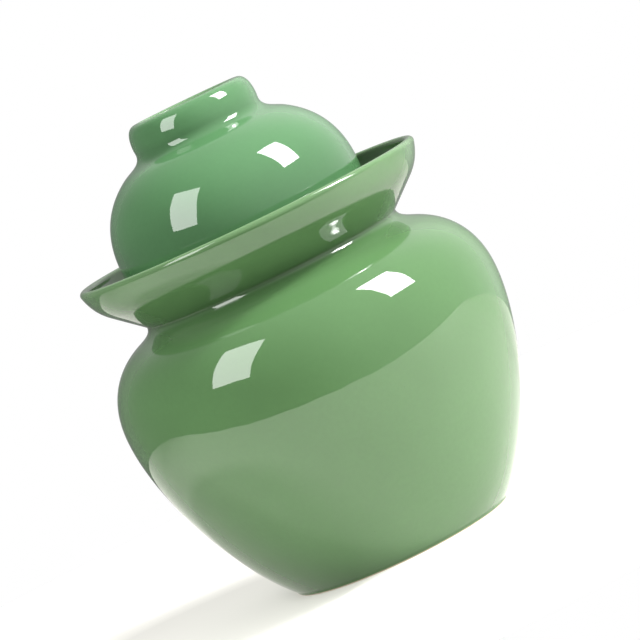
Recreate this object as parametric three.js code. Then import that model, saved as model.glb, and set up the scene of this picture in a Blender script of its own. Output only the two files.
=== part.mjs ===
// A water-sealed pickling crock: a round-bellied jar with a water moat round its mouth, an inner lid on
// the mouth, a bowl-shaped outer lid that stands in the moat, and two half-round weights inside.
// Millimetres, +Z up, with the origin at the centre of the foot, on the surface that the jar stands on.

import * as THREE from "three";

// ---------------------------------------------------------------- driving dimensions

const segments = 64; // facets round every turned piece
const gap = 0.3; // between pieces that rest on each other

// Jar
const wall = 5.5;
const footRadius = 57.3;
const footEdge = 1.5;
const footRingWidth = 7;
const footRecess = 3;
const footSlope = 0.78; // radians above level, where the belly leaves the foot
const bellyRadius = 100;
const bellyHeight = 104.6;
const shoulderRadius = 75.7;
const shoulderHeight = 143.6;
const shoulderSlope = 0.4; // radians above level
const waistRadius = 67.2; // the crease between the shoulder and the moat
const waistHeight = 150.9;
const flareSlope = 0.71; // radians above level, the straight underside of the moat
const flareRadius = 80.6; // where that underside starts to curve up
const rimRadius = 90.1;
const rimHeight = 180.3; // crest of the moat's rim
const rimLean = 0.26; // radians outwards from upright, on the outside just under the rim's edge
const moatWall = 4.3;
const moatFloor = 156;
const mouthRadius = 45;
const neckRadius = 50;
const neckHeight = 190;
const floorHeight = 9.5; // inside, at the bottom
const floorRadius = 50; // the flat part of it

// Outer lid
const lidOffset = -2.7; // along X: the lid stands loose in the moat, a little to one side
const lidRadius = 64.1;
const lidWall = 4;
const domeStart = 181.2; // where the straight side turns into the dome
const domeTopRadius = 44;
const domeTopHeight = 219.7;
const domeTopSlope = 0.573; // radians above level
const knobRadius = 33.2;
const knobFootHeight = 229;
const knobUndercut = 0.2; // how far the knob is drawn in under its ridge
const knobRidgeHeight = 231.3;
const knobHeight = 242.6;
const knobEdge = 6.2; // how far in from the side the rounded shoulder of the knob reaches
const knobRingWidth = 8.5;
const knobRecess = 12.1;
const crownHeight = 224; // underside of the crown, on the axis

// Inner lid
const innerLidRadius = 51;
const innerLidPlate = 4;
const innerLidRise = 3; // how far the plate is domed
const plugRadius = 43.4;
const plugWall = 4;
const plugDepth = 5;
const buttonRadius = 10;
const buttonNeck = 6.5;
const buttonHeight = 211;

// Weights
const weightRadius = 50;
const weightThickness = 16;
const weightTip = 6; // radius of the two corners
const weightEdge = 2.5; // rounding of the top and bottom edges
const weightSplit = 0.8; // between the two halves
const fingerNotch = 11;

// ---------------------------------------------------------------- materials

function glaze(colour) {
  return new THREE.MeshStandardMaterial({ color: colour, roughness: 0.08, metalness: 0 });
}

const jarGlaze = glaze(0x74aa74);
const lidGlaze = glaze(0x68a36c);
const innerLidGlaze = glaze(0x7db07c);
const stoneware = new THREE.MeshStandardMaterial({ color: 0xd9d0bd, roughness: 0.7, metalness: 0 });

// ---------------------------------------------------------------- outline helpers

const at = (radius, height) => new THREE.Vector2(radius, height);
const up = Math.PI / 2;

// The point at a distance from another, along an angle above level. Used as the handle of a bend.
function towards(point, angle, distance) {
  return at(point.x + distance * Math.cos(angle), point.y + distance * Math.sin(angle));
}

// An outline is a list of points. It grows by straight steps, smooth bends and arcs.
function outlineFrom(start) {
  const points = [start];
  const outline = {
    points,
    line(...ends) {
      points.push(...ends);
      return outline;
    },
    bend(handle1, handle2, end, steps) {
      const curve = new THREE.CubicBezierCurve(points.at(-1), handle1, handle2, end);
      points.push(...curve.getPoints(steps).slice(1));
      return outline;
    },
    // A straight step to the start of an arc, if that isn't the last point, then the arc.
    arc(centre, radius, from, to, steps) {
      const clockwise = to < from;
      const curve = new THREE.EllipseCurve(centre.x, centre.y, radius, radius, from, to, clockwise);
      points.push(...curve.getPoints(steps));
      return outline;
    },
  };
  return outline;
}

// The outline's points, without those that repeat the one before.
function distinctPoints(outline) {
  return outline.points.filter((p, i, all) => i === 0 || p.distanceTo(all[i - 1]) > 1e-6);
}

// Turns an outline of (radius, height) points round the Z axis.
function turned(name, outline, material) {
  const geometry = new THREE.LatheGeometry(distinctPoints(outline), segments).rotateX(Math.PI / 2);
  const mesh = new THREE.Mesh(geometry, material);
  mesh.name = name;
  return mesh;
}

// ---------------------------------------------------------------- jar

const flareHeight = waistHeight + (flareRadius - waistRadius) * Math.tan(flareSlope);
const flareStart = at(flareRadius, flareHeight);
const rimEdge = moatWall / 2;
const rimSide = rimHeight - rimEdge; // where the rim's half-round edge begins

// From the axis under the foot, up the belly and over the shoulder to the waist.
function addBelly(outline) {
  const ringInside = footRadius - footRingWidth;
  const footCorner = at(footRadius - footEdge, footEdge);
  const footTop = at(footRadius, footEdge);
  const belly = at(bellyRadius, bellyHeight);
  const shoulder = at(shoulderRadius, shoulderHeight);
  const waist = at(waistRadius, waistHeight);
  return outline
    .line(at(ringInside - footRecess, footRecess), at(ringInside, 0))
    .arc(footCorner, footEdge, -up, 0, 3)
    .bend(towards(footTop, footSlope, 29), towards(belly, -up, 34), belly, 11)
    .bend(towards(belly, up, 22.5), towards(shoulder, -shoulderSlope, 13), shoulder, 9)
    .bend(towards(shoulder, Math.PI - shoulderSlope, 5.5), towards(waist, -up, 3.5), waist, 3);
}

// From the waist up the underside of the moat, over its rim and down to its floor.
function addMoat(outline) {
  const rimCentre = at(rimRadius - rimEdge, rimSide);
  const rimOutside = towards(rimCentre, -rimLean, rimEdge);
  const rimInside = at(rimRadius - moatWall, rimSide);
  const insideFlare = towards(flareStart, flareSlope + up, moatWall);
  const floorOutside = insideFlare.x - (insideFlare.y - moatFloor) / Math.tan(flareSlope);
  return outline
    .line(flareStart)
    .bend(towards(flareStart, flareSlope, 6), towards(rimOutside, -up - rimLean, 7.5), rimOutside, 5)
    .arc(rimCentre, rimEdge, -rimLean, Math.PI, 6)
    .bend(towards(rimInside, -up, 7), towards(insideFlare, flareSlope, 3), insideFlare, 4)
    .line(at(floorOutside, moatFloor));
}

// From the moat's floor up the neck, over its lip and down the bore.
function addNeck(outline) {
  const root = 3; // rounding where the neck stands on the moat's floor
  const lip = (neckRadius - mouthRadius) / 2;
  return outline
    .arc(at(neckRadius + root, moatFloor + root), root, -up, -Math.PI, 2)
    .arc(at(neckRadius - lip, neckHeight - lip), lip, 0, Math.PI, 4)
    .line(at(mouthRadius, moatFloor + 3));
}

// From the bore of the neck, down the inside of the belly to the axis.
function addJarInside(outline) {
  const underMoat = at(shoulderRadius - 3, shoulderHeight - 4.5);
  const underMoatSlope = 0.55;
  const belly = at(bellyRadius - wall, bellyHeight);
  const floorEdge = at(floorRadius, floorHeight);
  return outline
    .bend(at(mouthRadius, moatFloor - 6), towards(underMoat, Math.PI - underMoatSlope, 9), underMoat, 4)
    .bend(towards(underMoat, -shoulderSlope, 13), towards(belly, up, 18), belly, 6)
    .bend(towards(belly, -up, 40), towards(floorEdge, 0, 20), floorEdge, 9)
    .line(at(0, floorHeight));
}

function makeJarBody() {
  const outline = outlineFrom(at(0, footRecess));
  addBelly(outline);
  addMoat(outline);
  addNeck(outline);
  addJarInside(outline);
  return turned("jar_body", outline, jarGlaze);
}

// ---------------------------------------------------------------- outer lid

function makeOuterLid() {
  const seat = moatFloor + gap;
  const lip = lidWall / 2;
  const inside = lidRadius - lidWall;
  const domeTop = at(domeTopRadius, domeTopHeight);
  const knobFoot = at(knobRadius - knobUndercut, knobFootHeight);
  const knobRidge = at(knobRadius, knobRidgeHeight);
  const knobTop = at(knobRadius - knobEdge, knobHeight);
  const recessRadius = knobRadius - knobRingWidth;
  const recessFloor = knobHeight - knobRecess;
  const ringEdge = 2;
  const recessCorner = 3;
  const crown = at(0, crownHeight);
  const domeFoot = at(lidRadius, domeStart);
  const domeFootInside = at(inside, domeStart - 3);
  const outline = outlineFrom(crown)
    .bend(towards(crown, 0, 24), towards(domeFootInside, up, 31), domeFootInside, 9)
    .arc(at(inside + lip, seat + lip), lip, Math.PI, 2 * Math.PI, 4)
    .line(domeFoot)
    .bend(towards(domeFoot, up, 21), towards(domeTop, -domeTopSlope, 11.8), domeTop, 8)
    .bend(towards(domeTop, Math.PI - domeTopSlope, 6), towards(knobFoot, -up, 5.5), knobFoot, 4)
    .line(knobRidge)
    .bend(towards(knobRidge, up, 7.5), towards(knobTop, 0, 4), knobTop, 5)
    .arc(at(recessRadius + ringEdge, knobHeight - ringEdge), ringEdge, up, Math.PI, 3)
    .arc(at(recessRadius - recessCorner, recessFloor + recessCorner), recessCorner, 0, -up, 2)
    .line(at(0, recessFloor));
  const lid = turned("outer_lid", outline, lidGlaze);
  lid.position.x = lidOffset;
  return lid;
}

// ---------------------------------------------------------------- inner lid

function makeInnerLid() {
  const under = neckHeight + gap;
  const top = under + innerLidPlate;
  const edge = innerLidPlate / 2;
  const plugBottom = under - plugDepth;
  const plugEdge = 1;
  const buttonEdge = 3.5;
  const buttonRoot = 2;
  const domeTop = at(buttonNeck + buttonRoot, top + innerLidRise);
  const buttonWaist = at(buttonNeck, domeTop.y + 3);
  const buttonSide = at(buttonRadius, buttonHeight - buttonEdge - 1.2);
  const outline = outlineFrom(at(0, under))
    .line(at(plugRadius - plugWall, under), at(plugRadius - plugWall, plugBottom))
    .arc(at(plugRadius - plugEdge, plugBottom + plugEdge), plugEdge, -up, 0, 1)
    .line(at(plugRadius, under))
    .arc(at(innerLidRadius - edge, under + edge), edge, -up, up, 4)
    .bend(at(30, top + innerLidRise / 2), towards(domeTop, 0, 8), domeTop, 4)
    .bend(towards(domeTop, Math.PI, buttonRoot), towards(buttonWaist, -up, 2), buttonWaist, 2)
    .bend(towards(buttonWaist, up, 2), towards(buttonSide, -up, 2.5), buttonSide, 3)
    .arc(at(buttonRadius - buttonEdge, buttonHeight - buttonEdge), buttonEdge, 0, up, 3)
    .line(at(0, buttonHeight));
  return turned("inner_lid", outline, innerLidGlaze);
}

// ---------------------------------------------------------------- weights

// A half-round plate on the +Y side of its straight edge, with a half-round notch for a finger.
function weightOutline() {
  const tipX = Math.sqrt((weightRadius - weightTip) ** 2 - weightTip ** 2);
  const tipAngle = Math.asin(weightTip / (weightRadius - weightTip));
  const centre = at(0, 0);
  const outline = outlineFrom(at(fingerNotch, 0))
    .arc(at(tipX, weightTip), weightTip, -up, tipAngle, 3)
    .arc(centre, weightRadius, tipAngle, Math.PI - tipAngle, 14)
    .arc(at(-tipX, weightTip), weightTip, Math.PI - tipAngle, Math.PI + up, 3)
    .arc(centre, fingerNotch, Math.PI, 0, 8);
  return new THREE.Shape(distinctPoints(outline).slice(1));
}

function makeWeight(name, side) {
  const geometry = new THREE.ExtrudeGeometry(weightOutline(), {
    depth: weightThickness - 2 * weightEdge,
    bevelThickness: weightEdge,
    bevelSize: weightEdge,
    bevelOffset: -weightEdge,
    bevelSegments: 2,
  });
  const weight = new THREE.Mesh(geometry, stoneware);
  weight.name = name;
  weight.rotation.z = -side * up;
  weight.position.set((side * weightSplit) / 2, 0, floorHeight + gap + weightEdge);
  return weight;
}

// ---------------------------------------------------------------- assembly

const crock = new THREE.Group();
crock.add(makeJarBody());
crock.add(makeOuterLid());
crock.add(makeInnerLid());
crock.add(makeWeight("weight_half_left", -1));
crock.add(makeWeight("weight_half_right", 1));

export default crock;
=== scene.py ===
"""Looks for the water-sealed pickling crock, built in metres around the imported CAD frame."""

import math

import bpy
from mathutils import Matrix, Vector


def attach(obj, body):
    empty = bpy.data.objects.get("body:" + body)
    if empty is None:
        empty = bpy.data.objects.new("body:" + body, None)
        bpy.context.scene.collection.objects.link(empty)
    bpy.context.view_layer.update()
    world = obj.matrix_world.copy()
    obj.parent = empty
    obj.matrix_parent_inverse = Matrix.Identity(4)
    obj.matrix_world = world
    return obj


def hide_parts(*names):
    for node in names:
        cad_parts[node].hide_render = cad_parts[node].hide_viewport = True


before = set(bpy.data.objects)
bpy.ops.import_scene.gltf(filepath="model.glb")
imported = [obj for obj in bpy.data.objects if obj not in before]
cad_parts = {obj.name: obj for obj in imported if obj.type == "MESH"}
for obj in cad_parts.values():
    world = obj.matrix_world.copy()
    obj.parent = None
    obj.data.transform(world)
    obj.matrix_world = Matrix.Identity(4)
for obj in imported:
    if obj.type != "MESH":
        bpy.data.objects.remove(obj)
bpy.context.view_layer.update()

MM = 0.001
UP = math.pi / 2
SEGMENTS = 224  # round every turned piece

# ---------------------------------------------------------------- sizes, in millimetres, as in the CAD

# Jar. Slopes are in radians above level.
WALL = 5.5
FOOT_RADIUS = 57.3
FOOT_EDGE = 1.5
FOOT_RING_WIDTH = 7
FOOT_RECESS = 3
FOOT_SLOPE = 0.78  # where the belly leaves the foot
BELLY_RADIUS = 100
BELLY_HEIGHT = 104.6
SHOULDER_RADIUS = 75.7
SHOULDER_HEIGHT = 143.6
SHOULDER_SLOPE = 0.4
WAIST_RADIUS = 67.2  # the crease between the shoulder and the moat
WAIST_HEIGHT = 150.9
FLARE_SLOPE = 0.71  # of the straight underside of the moat
FLARE_RADIUS = 80.6  # where that underside starts to curve up
RIM_RADIUS = 90.1
RIM_HEIGHT = 180.3
RIM_LEAN = 0.26  # radians outwards from upright, just under the rim's edge
MOAT_WALL = 4.3
MOAT_FLOOR = 156
MOUTH_RADIUS = 45
NECK_RADIUS = 50
NECK_HEIGHT = 190
NECK_ROOT = 3  # rounding where the neck stands on the moat's floor
FLOOR_HEIGHT = 9.5  # inside, at the bottom
FLOOR_RADIUS = 50  # the flat part of it
CEILING_SLOPE = 0.55  # inside, where the neck widens under the moat

# Outer lid
LID_OFFSET = -2.7  # along X, because the lid stands loose in the moat
LID_RADIUS = 64.1
LID_WALL = 4
LID_SEAT = 156.3
DOME_START = 181.2  # where the straight side turns into the dome
DOME_TOP_RADIUS = 44
DOME_TOP_HEIGHT = 219.7
DOME_TOP_SLOPE = 0.573
KNOB_RADIUS = 33.2
KNOB_FOOT_HEIGHT = 229
KNOB_UNDERCUT = 0.2  # how far the knob is drawn in under its ridge
KNOB_RIDGE_HEIGHT = 231.3
KNOB_HEIGHT = 242.6
KNOB_EDGE = 6.2  # how far in from the side the knob's rounded shoulder reaches
KNOB_RING_WIDTH = 8.5
KNOB_RECESS = 12.1
CROWN_HEIGHT = 224  # underside of the crown, on the axis

# Inner lid
INNER_LID_SEAT = 190.3
INNER_LID_RADIUS = 51
INNER_LID_PLATE = 4
INNER_LID_RISE = 3  # how far the plate is domed
PLUG_RADIUS = 43.4
PLUG_WALL = 4
PLUG_DEPTH = 5
BUTTON_RADIUS = 10
BUTTON_NECK = 6.5
BUTTON_HEIGHT = 211

# Weights
WEIGHT_RADIUS = 50
WEIGHT_THICKNESS = 16
WEIGHT_TIP = 6  # radius of the two corners
WEIGHT_EDGE = 2.5  # rounding of the top and bottom edges
WEIGHT_SPLIT = 0.8  # between the two halves
WEIGHT_SEAT = 9.8
FINGER_NOTCH = 11

# How far up the clay is bare
FOOT_BARE = 0.6
LID_BARE = 0.7
INNER_LID_BARE = 0.4

# ---------------------------------------------------------------- outlines

SAME_PLACE = 1e-6
CORNER_HANDLE = 0.4  # as a share of the corner's size, which makes its rounding nearly circular


def towards(point, angle, distance):
    """The point at a distance from another, along an angle above level."""
    return (point[0] + distance * math.cos(angle), point[1] + distance * math.sin(angle))


class Outline:
    """Points of (radius, height), grown by straight steps, smooth bends, arcs and rounded corners."""

    def __init__(self, start):
        self.points = [start]

    def line(self, end, step=2.0):
        """A straight line to end, with points at most that step apart."""
        start = self.points[-1]
        steps = max(1, math.ceil(math.dist(start, end) / step))
        for i in range(1, steps + 1):
            t = i / steps
            self.points.append(tuple(a + (b - a) * t for a, b in zip(start, end)))
        return self

    def bend(self, handle1, handle2, end, steps=24):
        """A Bezier curve to end. It leaves towards handle1 and arrives from handle2: further is fuller."""
        corners = (self.points[-1], handle1, handle2, end)
        for i in range(1, steps + 1):
            t = i / steps
            s = 1 - t
            shares = (s**3, 3 * s * s * t, 3 * s * t * t, t**3)
            self.points.append(tuple(sum(w * c[k] for w, c in zip(shares, corners)) for k in (0, 1)))
        return self

    def arc(self, centre, radius, start, end, steps=10):
        """Part of a circle between two angles, joined on by a straight line where it starts elsewhere."""
        first = towards(centre, start, radius)
        if math.dist(first, self.points[-1]) > SAME_PLACE:
            self.line(first)
        for i in range(1, steps + 1):
            self.points.append(towards(centre, start + (end - start) * i / steps, radius))
        return self

    def corner(self, point, size, following, steps=8):
        """A straight step towards point, then a rounding that starts and ends that size away from it."""
        before = self.points[-1]
        back = math.atan2(before[1] - point[1], before[0] - point[0])
        onward = math.atan2(following[1] - point[1], following[0] - point[0])
        handle = size * CORNER_HANDLE
        self.line(towards(point, back, size))
        near, far = towards(point, back, handle), towards(point, onward, handle)
        return self.bend(near, far, towards(point, onward, size), steps)


def add_belly(outline):
    """From the axis under the foot, up the belly and over the shoulder to the waist."""
    ring_inside = FOOT_RADIUS - FOOT_RING_WIDTH
    foot_top = (FOOT_RADIUS, FOOT_EDGE)
    belly = (BELLY_RADIUS, BELLY_HEIGHT)
    shoulder = (SHOULDER_RADIUS, SHOULDER_HEIGHT)
    waist = (WAIST_RADIUS, WAIST_HEIGHT)
    outline.corner((ring_inside - FOOT_RECESS, FOOT_RECESS), 1.5, (ring_inside, 0))
    outline.corner((ring_inside, 0), 0.8, (ring_inside + 3, 0))
    outline.arc((FOOT_RADIUS - FOOT_EDGE, FOOT_EDGE), FOOT_EDGE, -UP, 0, 8)
    outline.bend(towards(foot_top, FOOT_SLOPE, 29), towards(belly, -UP, 34), belly, 64)
    outline.bend(towards(belly, UP, 22.5), towards(shoulder, -SHOULDER_SLOPE, 13), shoulder, 40)
    outline.bend(towards(shoulder, math.pi - SHOULDER_SLOPE, 5.5), towards(waist, -UP, 3.5), waist, 18)


def add_moat(outline):
    """From the waist up the underside of the moat, over its rim and down to its floor."""
    flare = (FLARE_RADIUS, WAIST_HEIGHT + (FLARE_RADIUS - WAIST_RADIUS) * math.tan(FLARE_SLOPE))
    rim_edge = MOAT_WALL / 2
    rim_side = RIM_HEIGHT - rim_edge
    rim_centre = (RIM_RADIUS - rim_edge, rim_side)
    rim_outside = towards(rim_centre, -RIM_LEAN, rim_edge)
    rim_inside = (RIM_RADIUS - MOAT_WALL, rim_side)
    inside_flare = towards(flare, FLARE_SLOPE + UP, MOAT_WALL)
    floor_outside = inside_flare[0] - (inside_flare[1] - MOAT_FLOOR) / math.tan(FLARE_SLOPE)
    outline.line(flare)
    outline.bend(towards(flare, FLARE_SLOPE, 6), towards(rim_outside, -UP - RIM_LEAN, 7.5), rim_outside, 22)
    outline.arc(rim_centre, rim_edge, -RIM_LEAN, math.pi, 18)
    outline.bend(towards(rim_inside, -UP, 7), towards(inside_flare, FLARE_SLOPE, 3), inside_flare, 18)
    outline.corner((floor_outside, MOAT_FLOOR), 3, (NECK_RADIUS, MOAT_FLOOR))


def add_neck(outline):
    """From the moat's floor up the neck, over its lip and down the bore."""
    lip = (NECK_RADIUS - MOUTH_RADIUS) / 2
    outline.arc((NECK_RADIUS + NECK_ROOT, MOAT_FLOOR + NECK_ROOT), NECK_ROOT, -UP, -math.pi, 8)
    outline.arc((NECK_RADIUS - lip, NECK_HEIGHT - lip), lip, 0, math.pi, 16)
    outline.line((MOUTH_RADIUS, MOAT_FLOOR + NECK_ROOT))


def add_jar_inside(outline):
    """From the bore of the neck, down the inside of the belly to the axis."""
    bore_end = outline.points[-1]
    shoulder = (SHOULDER_RADIUS - 3, SHOULDER_HEIGHT - 4.5)
    belly = (BELLY_RADIUS - WALL, BELLY_HEIGHT)
    floor_edge = (FLOOR_RADIUS, FLOOR_HEIGHT)
    outline.bend(towards(bore_end, -UP, 9), towards(shoulder, math.pi - CEILING_SLOPE, 9), shoulder, 20)
    outline.bend(towards(shoulder, -SHOULDER_SLOPE, 13), towards(belly, UP, 18), belly, 24)
    outline.bend(towards(belly, -UP, 40), towards(floor_edge, 0, 20), floor_edge, 40)
    outline.line((0, FLOOR_HEIGHT), step=4)


def jar_outline():
    """The whole jar, outside first."""
    outline = Outline((0, FOOT_RECESS))
    add_belly(outline)
    add_moat(outline)
    add_neck(outline)
    add_jar_inside(outline)
    return outline.points


def lid_outline():
    """From the axis under the crown, down the inside, round the rim and up over the knob to the axis."""
    lip = LID_WALL / 2
    inside = LID_RADIUS - LID_WALL
    crown = (0, CROWN_HEIGHT)
    dome_foot = (LID_RADIUS, DOME_START)
    dome_foot_inside = (inside, DOME_START - 3)
    dome_top = (DOME_TOP_RADIUS, DOME_TOP_HEIGHT)
    knob_foot = (KNOB_RADIUS - KNOB_UNDERCUT, KNOB_FOOT_HEIGHT)
    knob_ridge = (KNOB_RADIUS, KNOB_RIDGE_HEIGHT)
    knob_top = (KNOB_RADIUS - KNOB_EDGE, KNOB_HEIGHT)
    recess_radius = KNOB_RADIUS - KNOB_RING_WIDTH
    recess_floor = KNOB_HEIGHT - KNOB_RECESS
    ring_edge = 2
    recess_corner = 3
    outline = Outline(crown)
    outline.bend(towards(crown, 0, 24), towards(dome_foot_inside, UP, 31), dome_foot_inside, 40)
    outline.arc((inside + lip, LID_SEAT + lip), lip, math.pi, 2 * math.pi, 14)
    outline.line(dome_foot)
    outline.bend(towards(dome_foot, UP, 21), towards(dome_top, -DOME_TOP_SLOPE, 11.8), dome_top, 48)
    outline.bend(towards(dome_top, math.pi - DOME_TOP_SLOPE, 6), towards(knob_foot, -UP, 5.5), knob_foot, 20)
    outline.line(knob_ridge, step=0.8)
    outline.bend(towards(knob_ridge, UP, 7.5), towards(knob_top, 0, 4), knob_top, 28)
    outline.arc((recess_radius + ring_edge, KNOB_HEIGHT - ring_edge), ring_edge, UP, math.pi, 10)
    outline.arc((recess_radius - recess_corner, recess_floor + recess_corner), recess_corner, 0, -UP, 8)
    return outline.line((0, recess_floor), step=3).points


def inner_lid_outline():
    """From the axis underneath, round the plug and the plate's edge and up over the button to the axis."""
    top = INNER_LID_SEAT + INNER_LID_PLATE
    edge = INNER_LID_PLATE / 2
    plug_bottom = INNER_LID_SEAT - PLUG_DEPTH
    plug_inside = PLUG_RADIUS - PLUG_WALL
    plug_edge = 1
    button_edge = 3.5
    button_root = 2
    dome_top = (BUTTON_NECK + button_root, top + INNER_LID_RISE)
    button_waist = (BUTTON_NECK, dome_top[1] + 3)
    button_side = (BUTTON_RADIUS, BUTTON_HEIGHT - button_edge - 1.2)
    outline = Outline((0, INNER_LID_SEAT))
    outline.corner((plug_inside, INNER_LID_SEAT), 1.2, (plug_inside, plug_bottom))
    outline.corner((plug_inside, plug_bottom), 0.8, (PLUG_RADIUS, plug_bottom))
    outline.arc((PLUG_RADIUS - plug_edge, plug_bottom + plug_edge), plug_edge, -UP, 0, 6)
    outline.corner((PLUG_RADIUS, INNER_LID_SEAT), 0.6, (INNER_LID_RADIUS - edge, INNER_LID_SEAT))
    outline.arc((INNER_LID_RADIUS - edge, INNER_LID_SEAT + edge), edge, -UP, UP, 12)
    outline.bend((30, top + INNER_LID_RISE / 2), towards(dome_top, 0, 8), dome_top, 20)
    outline.bend(towards(dome_top, math.pi, button_root), towards(button_waist, -UP, 2), button_waist, 8)
    outline.bend(towards(button_waist, UP, 2), towards(button_side, -UP, 2.5), button_side, 8)
    outline.arc((BUTTON_RADIUS - button_edge, BUTTON_HEIGHT - button_edge), button_edge, 0, UP, 8)
    return outline.line((0, BUTTON_HEIGHT), step=2).points


# ---------------------------------------------------------------- meshes

GLAZED, BARE = 0, 1  # the two material slots of a turned piece
CRISP = math.radians(40)  # an edge of a weight that turns more than this is shaded as an edge


def link(name, data):
    """A new object in the scene that holds the data."""
    thing = bpy.data.objects.new(name, data)
    bpy.context.scene.collection.objects.link(thing)
    return thing


def ring_of_points(radius, height, offset):
    """Points round a vertical axis that stands that far along X."""
    angles = (2 * math.pi * k / SEGMENTS for k in range(SEGMENTS))
    return [
        ((offset + radius * math.cos(a)) * MM, radius * math.sin(a) * MM, height * MM)
        for a in angles
    ]


def turned_faces(rings):
    """Faces of a closed surface: a pole, rings of SEGMENTS points, and a pole."""
    last = rings * SEGMENTS + 1
    faces = []
    for k in range(SEGMENTS):
        following = (k + 1) % SEGMENTS
        faces.append((0, 1 + following, 1 + k))
        for ring in range(rings - 1):
            low = 1 + ring * SEGMENTS
            high = low + SEGMENTS
            faces.append((low + k, low + following, high + following, high + k))
        end = last - SEGMENTS
        faces.append((end + k, end + following, last))
    return faces


def bends_of(outline, reach=1.6):
    """How far the outline turns within reach of each point, in radians: positive where it is convex."""
    run = [0.0]
    for a, b in zip(outline, outline[1:]):
        run.append(run[-1] + math.dist(a, b))
    last = len(outline) - 1
    bends = []
    for i, here in enumerate(run):
        before = next((j for j in range(i, -1, -1) if here - run[j] >= reach), 0)
        after = next((j for j in range(i, last + 1) if run[j] - here >= reach), last)
        if i in (before, after):
            bends.append(0.0)
            continue
        came = math.atan2(outline[i][1] - outline[before][1], outline[i][0] - outline[before][0])
        goes = math.atan2(outline[after][1] - outline[i][1], outline[after][0] - outline[i][0])
        bends.append((goes - came + math.pi) % (2 * math.pi) - math.pi)
    return bends


def store(mesh, name, values):
    """One value for each outline point, as an attribute of the turned mesh."""
    attribute = mesh.attributes.new(name, "FLOAT", "POINT")
    spread = [v for value in values[1:-1] for v in [value] * SEGMENTS]
    attribute.data.foreach_set("value", [values[0], *spread, values[-1]])


def make_turned(name, outline, offset, is_bare, materials):
    """A piece turned round Z. is_bare(radius, height) says where the clay has no glaze."""
    verts = [(offset * MM, 0, outline[0][1] * MM)]
    for radius, height in outline[1:-1]:
        verts += ring_of_points(radius, height, offset)
    verts.append((offset * MM, 0, outline[-1][1] * MM))
    mesh = bpy.data.meshes.new(name)
    mesh.from_pydata(verts, [], turned_faces(len(outline) - 2))
    mesh.shade_smooth()
    bends = bends_of(outline)
    store(mesh, "ridge", [max(0.0, b) for b in bends])
    store(mesh, "hollow", [max(0.0, -b) for b in bends])
    for material in materials:
        mesh.materials.append(material)
    for face in mesh.polygons:
        centre = face.center
        radius = math.hypot(centre.x / MM - offset, centre.y / MM)
        face.material_index = BARE if is_bare(radius, centre.z / MM) else GLAZED
    return link(name, mesh)


def weight_outline():
    """The half-round plate on the +Y side of its straight edge, as a closed ring of (x, y) points."""
    reach = WEIGHT_RADIUS - WEIGHT_TIP
    tip_x = math.sqrt(reach**2 - WEIGHT_TIP**2)
    tip_angle = math.asin(WEIGHT_TIP / reach)
    outline = Outline((FINGER_NOTCH, 0))
    outline.arc((tip_x, WEIGHT_TIP), WEIGHT_TIP, -UP, tip_angle, 12)
    outline.arc((0, 0), WEIGHT_RADIUS, tip_angle, math.pi - tip_angle, 72)
    outline.arc((-tip_x, WEIGHT_TIP), WEIGHT_TIP, math.pi - tip_angle, math.pi + UP, 12)
    outline.arc((0, 0), FINGER_NOTCH, math.pi, 0, 32)
    return outline.points[:-1]


def inset(ring, distance):
    """A closed ring of points moved inwards, along the bisector at each point."""
    moved = []
    for i, here in enumerate(ring):
        before = Vector(ring[i - 1])
        after = Vector(ring[(i + 1) % len(ring)])
        along1 = (Vector(here) - before).normalized()
        along2 = (after - Vector(here)).normalized()
        inward = Vector((-along1.y - along2.y, along1.x + along2.x)).normalized()
        spread = max(0.5, inward.dot(Vector((-along1.y, along1.x))))  # keeps a sharp corner's point near
        moved.append(tuple(Vector(here) + inward * distance / spread))
    return moved


def weight_levels(steps=6):
    """How far in and how high each ring of a weight lies: up its bottom rounding, then its top one."""
    levels = []
    for i in range(steps + 1):
        turn = UP * i / steps
        levels.append((WEIGHT_EDGE * (1 - math.sin(turn)), WEIGHT_EDGE * (1 - math.cos(turn))))
    for i in range(steps + 1):
        turn = UP * i / steps
        rise = WEIGHT_THICKNESS - WEIGHT_EDGE + WEIGHT_EDGE * math.sin(turn)
        levels.append((WEIGHT_EDGE * (1 - math.cos(turn)), rise))
    return levels


def make_weight(name, side, material):
    """One half of the split weight: side is -1 for the left one and 1 for the right one."""
    ring = weight_outline()
    levels = weight_levels()
    verts = []
    for away, height in levels:
        for x, y in inset(ring, away):
            turned_x = side * (y + WEIGHT_SPLIT / 2)
            verts.append((turned_x * MM, -side * x * MM, (WEIGHT_SEAT + height) * MM))
    count = len(ring)
    faces = [tuple(reversed(range(count)))]
    for level in range(len(levels) - 1):
        low = level * count
        for k in range(count):
            following = (k + 1) % count
            faces.append((low + k, low + following, low + count + following, low + count + k))
    faces.append(tuple(range(len(verts) - count, len(verts))))
    mesh = bpy.data.meshes.new(name)
    mesh.from_pydata(verts, [], faces)
    mesh.shade_smooth()
    mesh.set_sharp_from_angle(angle=CRISP)
    mesh.materials.append(material)
    return link(name, mesh)


# ---------------------------------------------------------------- shader nodes

MIX_A, MIX_B, MIX_RESULT = 6, 7, 2  # the colour sockets of a Mix node


def remap(tree, value, low, high, to_low, to_high, smooth=False):
    """A value from low..high turned into to_low..to_high, and held at its ends."""
    node = tree.nodes.new("ShaderNodeMapRange")
    node.interpolation_type = "SMOOTHSTEP" if smooth else "LINEAR"
    for socket, number in zip(("From Min", "From Max", "To Min", "To Max"), (low, high, to_low, to_high)):
        node.inputs[socket].default_value = number
    tree.links.new(value, node.inputs["Value"])
    return node.outputs["Result"]


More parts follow.
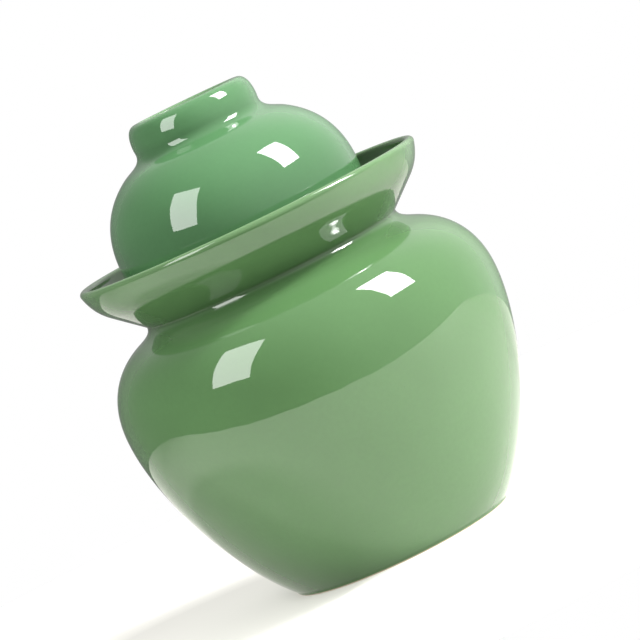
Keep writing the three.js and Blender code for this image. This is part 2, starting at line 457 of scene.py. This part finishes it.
def vector_math(tree, operation, vector, other=(0, 0, 0)):
    """A vector worked on with a constant one. Gives a vector for SUBTRACT or MULTIPLY, else a number."""
    node = tree.nodes.new("ShaderNodeVectorMath")
    node.operation = operation
    node.inputs[1].default_value = other
    tree.links.new(vector, node.inputs[0])
    return node.outputs["Vector" if operation in ("SUBTRACT", "MULTIPLY") else "Value"]


class Look:
    """A material of shader nodes that feed one Principled shader."""

    def __init__(self, name):
        self.material = bpy.data.materials.new(name)
        self.material.use_nodes = True
        self.tree = self.material.node_tree
        self.shader = self.tree.nodes["Principled BSDF"]
        self.place = self.node("ShaderNodeTexCoord").outputs["Object"]

    def node(self, kind):
        """A new node in this material."""
        return self.tree.nodes.new(kind)

    def feed(self, value, socket):
        """Puts a number, a colour or another node's output into a socket."""
        if isinstance(value, (int, float)):
            socket.default_value = value
        elif isinstance(value, tuple):
            socket.default_value = (*value, 1)
        else:
            self.tree.links.new(value, socket)

    def set(self, socket, value):
        """Feeds a socket of the shader itself."""
        self.feed(value, self.shader.inputs[socket])

    def noise(self, size, detail=3.0):
        """Cloudy values round 0.5, with patches about that size in metres."""
        node = self.node("ShaderNodeTexNoise")
        node.inputs["Scale"].default_value = 1 / size
        node.inputs["Detail"].default_value = detail
        self.feed(self.place, node.inputs["Vector"])
        return node.outputs["Fac"]

    def specks(self, spacing, share):
        """1 at the middle of sparse round specks, which fill that share of their spacing, and 0 elsewhere."""
        node = self.node("ShaderNodeTexVoronoi")
        node.inputs["Scale"].default_value = 1 / spacing
        self.feed(self.place, node.inputs["Vector"])
        return self.remap(node.outputs["Distance"], 0.0, share, 1.0, 0.0)

    def attribute(self, name):
        """The values that store gave the mesh under that name."""
        node = self.node("ShaderNodeAttribute")
        node.attribute_name = name
        return node.outputs["Fac"]

    def remap(self, value, *numbers):
        """As the function remap, in this material."""
        return remap(self.tree, value, *numbers)

    def combine(self, operation, a, b):
        """Two values, each a number or an output, worked on by a Math node."""
        node = self.node("ShaderNodeMath")
        node.operation = operation
        self.feed(a, node.inputs[0])
        self.feed(b, node.inputs[1])
        return node.outputs[0]

    def blend(self, factor, a, b):
        """Colour a turning to colour b as factor goes from 0 to 1."""
        node = self.node("ShaderNodeMix")
        node.data_type = "RGBA"
        self.feed(factor, node.inputs["Factor"])
        self.feed(a, node.inputs[MIX_A])
        self.feed(b, node.inputs[MIX_B])
        return node.outputs[MIX_RESULT]

    def bump(self, height, distance):
        """A normal, from a height of 0 to 1 that stands for that distance in metres."""
        node = self.node("ShaderNodeBump")
        node.inputs["Distance"].default_value = distance
        self.feed(height, node.inputs["Height"])
        return node.outputs["Normal"]


# ---------------------------------------------------------------- materials

CLOUDS = (0.3, 0.7)  # the stretch of a noise's values that turns one thing into another
JAR_GREEN = (0.061, 0.132, 0.049)
LID_GREEN = (0.052, 0.132, 0.054)
INNER_GREEN = (0.056, 0.132, 0.048)
THIN_GREEN = (0.15, 0.22, 0.12)
BISCUIT = (0.52, 0.45, 0.34)
STONEWARE = (0.60, 0.55, 0.46)


def shade(colour, by):
    """The colour made that many times as bright."""
    return tuple(c * by for c in colour)


def glaze_colour(look, colour, thin_colour):
    """Paler where the glaze runs thin over a ridge, deeper where it pools, with clouds and specks.

    The attributes hollow and ridge are in radians, as bends_of gives them.
    """
    cloud = look.remap(look.noise(0.05), *CLOUDS, 0.0, 1.0)
    mottle = look.remap(look.noise(0.0022, detail=2.0), *CLOUDS, 0.0, 0.35)
    pooled = look.remap(look.attribute("hollow"), 0.05, 0.9, 0.0, 0.8)
    thinned = look.remap(look.attribute("ridge"), 0.3, 1.5, 0.0, 0.6)
    body = look.blend(cloud, shade(colour, 0.95), shade(colour, 1.05))
    body = look.blend(mottle, body, shade(colour, 0.9))
    body = look.blend(pooled, body, shade(colour, 0.62))
    body = look.blend(thinned, body, thin_colour)
    return look.blend(look.specks(spacing=0.009, share=0.03), body, shade(colour, 0.45))


def make_glaze(name, colour, thin_colour):
    """Glossy opaque glaze. The gloss is a clear coat with a slight ripple."""
    look = Look(name)
    fine_ripple = look.combine("MULTIPLY", look.noise(0.0012, detail=1.0), 0.03)
    ripple = look.combine("ADD", look.noise(0.012, detail=1.0), fine_ripple)
    surface = look.bump(ripple, distance=0.00006)
    look.set("Base Color", glaze_colour(look, colour, thin_colour))
    look.set("Roughness", 0.55)
    look.set("Specular IOR Level", 0.0)
    look.set("Coat Weight", 1.0)
    look.set("Coat Roughness", 0.025)
    look.set("Coat IOR", 1.5)
    look.set("Normal", surface)
    look.set("Coat Normal", surface)
    return look.material


def make_clay(name, colour, grain):
    """Unglazed fired clay: matt, with a fine grain, faint clouding and a few iron specks."""
    look = Look(name)
    fine = look.noise(grain, detail=4.0)
    cloud = look.remap(look.noise(0.02), *CLOUDS, 0.0, 1.0)
    body = look.blend(cloud, shade(colour, 0.92), shade(colour, 1.04))
    body = look.blend(look.remap(fine, 0.35, 0.65, 0.0, 0.5), body, shade(colour, 0.8))
    body = look.blend(look.specks(spacing=0.004, share=0.07), body, shade(colour, 0.35))
    look.set("Base Color", body)
    look.set("Roughness", look.remap(fine, *CLOUDS, 0.7, 0.9))
    look.set("IOR", 1.45)
    look.set("Normal", look.bump(fine, distance=0.00025))
    return look.material


# ---------------------------------------------------------------- pieces


def jar_is_bare(radius, height):
    """The flat of the foot ring, wiped clean for the kiln shelf."""
    return height < FOOT_BARE and radius > FOOT_RADIUS - FOOT_RING_WIDTH


def lid_is_bare(radius, height):
    """The lid's rim, which stands on the moat's floor."""
    return height < LID_SEAT + LID_BARE


def inner_lid_is_bare(radius, height):
    """The plug and the seat that rests on the neck."""
    return radius > PLUG_RADIUS - PLUG_WALL and height < INNER_LID_SEAT + INNER_LID_BARE


def place(piece, body, node):
    """The piece rides on that body and is shown in place of that CAD node, which is hidden."""
    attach(piece, body)
    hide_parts(node)


def make_crock():
    """The materials and the five pieces that wear them."""
    biscuit = make_clay("biscuit", BISCUIT, grain=0.0008)
    stoneware = make_clay("stoneware", STONEWARE, grain=0.0012)
    jar_glaze = make_glaze("jar_glaze", JAR_GREEN, THIN_GREEN)
    lid_glaze = make_glaze("lid_glaze", LID_GREEN, THIN_GREEN)
    inner_glaze = make_glaze("inner_lid_glaze", INNER_GREEN, THIN_GREEN)
    jar = make_turned("jar", jar_outline(), 0, jar_is_bare, (jar_glaze, biscuit))
    place(jar, "jar", "jar_body")
    lid = make_turned("lid", lid_outline(), LID_OFFSET, lid_is_bare, (lid_glaze, biscuit))
    place(lid, "outer_lid", "outer_lid")
    inner = make_turned("lid_inner", inner_lid_outline(), 0, inner_lid_is_bare, (inner_glaze, biscuit))
    place(inner, "inner_lid", "inner_lid")
    for name, side in (("left", -1), ("right", 1)):
        weight = make_weight(f"weight_{name}_half", side, stoneware)
        place(weight, f"weight_{name}", f"weight_half_{name}")


# ---------------------------------------------------------------- studio, in metres

TABLE_MIDDLE = (-0.045, 0.12)
TABLE_HALF_WIDTH = 0.82
TABLE_FRONT = 0.48  # from its middle
TABLE_BACK = 0.4
TABLE_ROUNDNESS = 1.5  # 2 is an ellipse, 1 is a diamond
TABLE_STEPS = 128
TABLE_COLOUR = (0.5, 0.49, 0.46)
GLOW_COLOUR = (1, 0.99, 0.92)  # of the painted light the floor glows with, though it is no lamp
# painted light: how strongly the floor glows, though it is no lamp
GLOW = 1.33
GLOW_FADE = (-0.1, 0.2)  # in Y: the painted glow is full in front of the first and gone behind the second
SHADOW_MIDDLE = (-0.13, 0, 0)  # painted shadow: a round patch beside the object where the floor's painted glow is weaker
SHADOW_RADIUS = (0.115, 0.16)  # where the patch starts to fade, and where it ends
SHADOW_GLOW = 0.3  # the share of the glow that is left in it
HOT_SPOT_CORE = 0.4  # the share of a hot spot's reach that is fully bright


def make_table_material():
    """Pale and matt, with painted light: a glow, though it is no lamp, that fades towards the back and is
    weaker in a painted shadow beside the object.
    """
    look = Look("floor")
    parts = look.node("ShaderNodeSeparateXYZ")
    look.feed(look.place, parts.inputs[0])
    # painted light: the floor's glow, full in front and fading towards the back
    along = look.remap(parts.outputs["Y"], *GLOW_FADE, GLOW, 0.0)
    # painted shadow: the glow is cut down in a round patch beside the object
    from_shadow = vector_math(look.tree, "DISTANCE", look.place, SHADOW_MIDDLE)
    shadowed = look.remap(from_shadow, *SHADOW_RADIUS, SHADOW_GLOW, 1.0)
    look.set("Base Color", TABLE_COLOUR)
    look.set("Roughness", 0.7)
    look.set("Emission Color", GLOW_COLOUR)
    look.set("Emission Strength", look.combine("MULTIPLY", along, shadowed))
    return look.material


def rounded(value):
    """A sine or cosine drawn in, so that the table's outline is TABLE_ROUNDNESS round."""
    return math.copysign(abs(value) ** (2 / TABLE_ROUNDNESS), value)


def make_table():
    """A pale floor with a rounded outline, which the glossy belly mirrors."""
    corners = []
    for i in range(TABLE_STEPS):
        angle = 2 * math.pi * i / TABLE_STEPS
        x = TABLE_HALF_WIDTH * rounded(math.cos(angle))
        y = rounded(math.sin(angle)) * (TABLE_BACK if i < TABLE_STEPS / 2 else TABLE_FRONT)
        corners.append((TABLE_MIDDLE[0] + x, TABLE_MIDDLE[1] + y, 0))
    mesh = bpy.data.meshes.new("floor")
    mesh.from_pydata(corners, [], [tuple(range(len(corners)))])
    mesh.materials.append(make_table_material())
    link("floor", mesh)


def aimed(place_at, target, roll):
    """Placed there, looking at the target, then rolled by that many degrees."""
    place_at = Vector(place_at)
    turn = (Vector(target) - place_at).to_track_quat("-Z", "Y").to_matrix().to_4x4()
    return Matrix.Translation(place_at) @ turn @ Matrix.Rotation(math.radians(roll), 4, "Z")


def softbox(name, matrix, size, radiance):
    """A rectangular lamp of that size in metres, equally bright all over."""
    lamp = bpy.data.lights.new(name, "AREA")
    lamp.shape = "RECTANGLE"
    lamp.size, lamp.size_y = size
    lamp.energy = radiance * math.pi * size[0] * size[1]
    box = link(name, lamp)
    box.matrix_world = matrix
    return box


def add_hot_spot(lamp, middle, reach, times):
    """The flash tube behind a lamp's cloth: a round patch that is that many times as bright.

    The middle is given in shares of the lamp's width and height, and the reach in metres.
    """
    lamp.use_nodes = True
    tree = lamp.node_tree
    on_lamp = tree.nodes.new("ShaderNodeNewGeometry").outputs["Parametric"]
    across = vector_math(tree, "SUBTRACT", on_lamp, (*middle, 0))
    metres = vector_math(tree, "MULTIPLY", across, (lamp.size, lamp.size_y, 0))
    distance = vector_math(tree, "LENGTH", metres)
    level = remap(tree, distance, HOT_SPOT_CORE * reach, reach, times, 1, smooth=True)
    tree.links.new(level, tree.nodes["Emission"].inputs["Strength"])


def make_lamps():
    """A bright softbox at the right, a weaker one at the left and one behind the object."""
    right = aimed((1.048, -0.359, 1.053), target=(0.154, 0.6, 0.135), roll=6.7)
    left = aimed((-0.428, -0.408, 0.545), target=(0.026, 0.115, 0.145), roll=-5.5)
    behind = aimed((-0.7, 1.2, 0.6), target=(0, 0, 0.12), roll=0)
    key = softbox("key", right, size=(0.52, 0.78), radiance=28.6)
    add_hot_spot(key.data, middle=(0.53, 0.5), reach=0.125, times=10)
    softbox("fill", left, size=(0.303, 0.503), radiance=9.8)
    back = softbox("back", behind, size=(0.8, 0.8), radiance=6.5)
    back.visible_glossy = False  # it brightens the far side and isn't mirrored in the glaze


# Parts of the room: the direction of each one's middle, the cosines where it starts and is full, and its
# level outside and inside.
ROOM_SIDE = ((0.93, 0.1, 0.35), -0.5, 0.9, 0.3, 1.3)
ROOM_AHEAD = ((0, 1, 0), 0.8, 0.97, 1.0, 0.5)  # darker beyond the object, which keeps its outline crisp
ROOM_ABOVE = ((0.2, 0.77, 0.62), 0.8, 0.97, 0.0, 0.2)


def room_part(tree, direction, middle, starts, full, outside, inside):
    """The level of one part of the room in a direction."""
    nearness = vector_math(tree, "DOT_PRODUCT", direction, Vector(middle).normalized())
    return remap(tree, nearness, starts, full, outside, inside, smooth=True)


def room_level(tree):
    """How bright the room is in each direction: side * ahead + above."""
    direction = tree.nodes.new("ShaderNodeTexCoord").outputs["Generated"]
    level = tree.nodes.new("ShaderNodeMath")
    level.operation = "MULTIPLY_ADD"
    for socket, part in zip(level.inputs, (ROOM_SIDE, ROOM_AHEAD, ROOM_ABOVE)):
        tree.links.new(room_part(tree, direction, *part), socket)
    return level.outputs[0]


def make_room():
    """White to the camera, and to everything else a dim room with a pale side."""
    world = bpy.data.worlds.new("room")
    bpy.context.scene.world = world
    world.use_nodes = True
    tree = world.node_tree
    tree.nodes.clear()
    room = tree.nodes.new("ShaderNodeBackground")
    white = tree.nodes.new("ShaderNodeBackground")
    for background in (room, white):
        background.inputs["Color"].default_value = (1, 1, 1, 1)
    tree.links.new(room_level(tree), room.inputs["Strength"])
    to_camera = tree.nodes.new("ShaderNodeLightPath").outputs["Is Camera Ray"]
    mix = tree.nodes.new("ShaderNodeMixShader")
    for output, socket in zip((to_camera, room.outputs[0], white.outputs[0]), mix.inputs):
        tree.links.new(output, socket)
    surface = tree.nodes.new("ShaderNodeOutputWorld").inputs["Surface"]
    tree.links.new(mix.outputs[0], surface)


CAMERA_PLACE = (0, -1.95, 0.2862)
CAMERA_TARGET = (0, 0, 0.12)
CAMERA_ROLL = 25.6  # degrees, which leans the object to the left
CAMERA_LENS = 224.7  # in millimetres, as is the sensor's width
CAMERA_SENSOR = 36
CAMERA_SHIFT = (0.0344, 0.0072)  # in widths of the picture


def make_camera():
    """A long lens a little above the object, rolled as the photograph is."""
    data = bpy.data.cameras.new("camera")
    data.lens = CAMERA_LENS
    data.sensor_width = CAMERA_SENSOR
    data.shift_x, data.shift_y = CAMERA_SHIFT
    camera = link("camera", data)
    camera.matrix_world = aimed(CAMERA_PLACE, CAMERA_TARGET, -CAMERA_ROLL)
    bpy.context.scene.camera = camera


make_camera()
make_crock()
make_table()
make_lamps()
make_room()
bpy.context.scene.view_settings.view_transform = "Standard"
